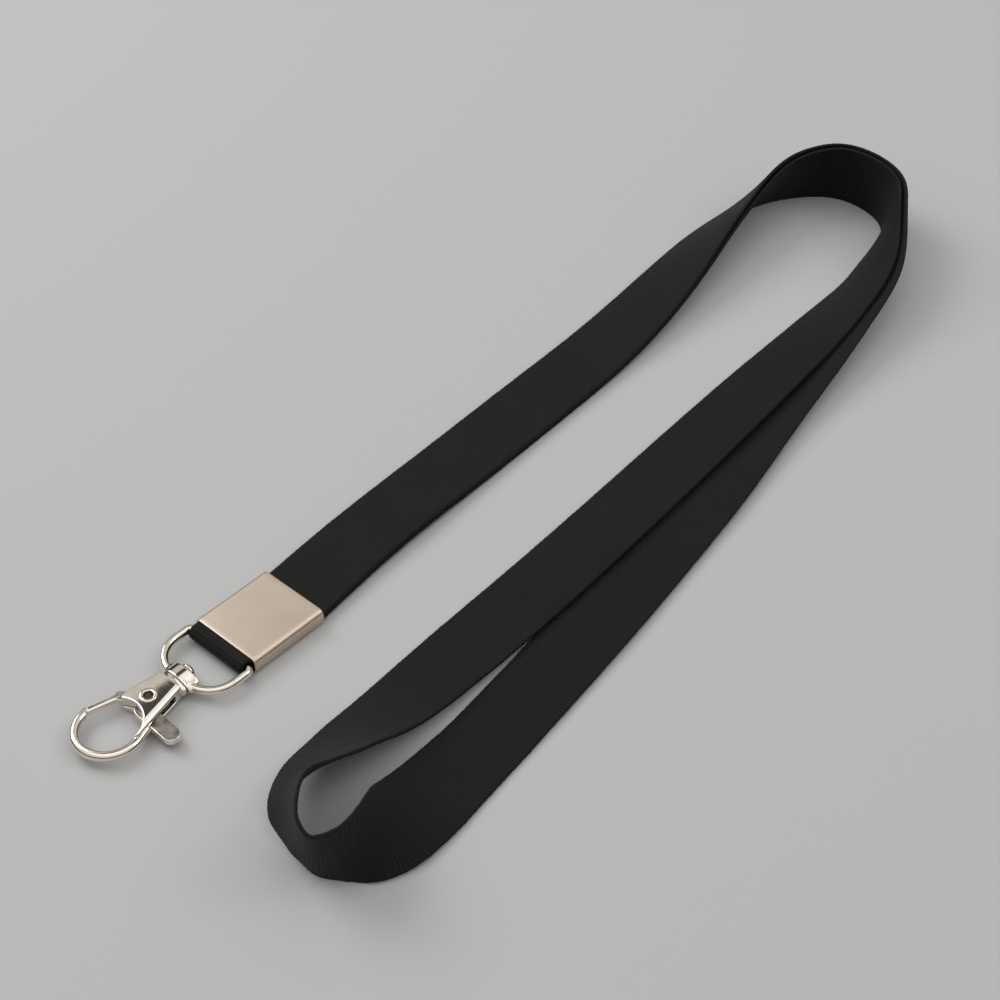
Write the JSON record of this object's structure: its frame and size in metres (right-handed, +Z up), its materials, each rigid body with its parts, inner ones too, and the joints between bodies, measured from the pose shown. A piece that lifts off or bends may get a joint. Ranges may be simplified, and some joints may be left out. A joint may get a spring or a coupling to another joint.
{
  "type": "lanyard badge holder",
  "caption": "Doubled webbing neck strap clamped in a sheet-metal crimp, with a D-ring, a cast swivel and a trigger snap hook, laid out in a long loop.",
  "frame": {"origin": "middle of the crimp's underside, on the table", "axes": "+Y from the hook along the crimp to the strap's far bend, +X across the crimp towards the run that comes back, +Z up off the table"},
  "size_m": [0.0795, 0.2371, 0.018],
  "materials": {
    "webbing": "ribbed polyester webbing, near black, slight sheen",
    "crimp_steel": "satin nickel plate on sheet steel",
    "nickel": "polished nickel plate on a zinc casting",
    "nickel_dark": "nickel plate, less polished in the tab's flat top",
    "spring_steel": "bare spring wire"
  },
  "bodies": {
    "strap_and_crimp": {"strap": "webbing", "crimp": "crimp_steel"},
    "ring": {"d_ring": "nickel"},
    "hook": {"hook_body": "nickel", "lever_rivet": "nickel", "lever_spring": "spring_steel"},
    "lever": {"lever": "nickel_dark"}
  },
  "joints": [
    {"name": "ring_swing", "type": "hinge", "parent": "strap_and_crimp", "child": "ring", "pos_m": [0, -0.01005, 0.0021], "axis": [1, 0, 0], "range_deg": [-75, 75]},
    {"name": "hook_swivel", "type": "hinge", "parent": "ring", "child": "hook", "pos_m": [0, -0.0212, 0.0021], "axis": [0, 1, 0], "continuous": true},
    {"name": "lever_press", "type": "hinge", "parent": "hook", "child": "lever", "pos_m": [0.0003, -0.0275, 0.0021], "axis": [0, 0, 1], "range_deg": [0, 26], "stiffness_Nm_per_rad": 0.02, "springref_deg": -20.05, "deforming": ["lever_spring"]}
  ]
}
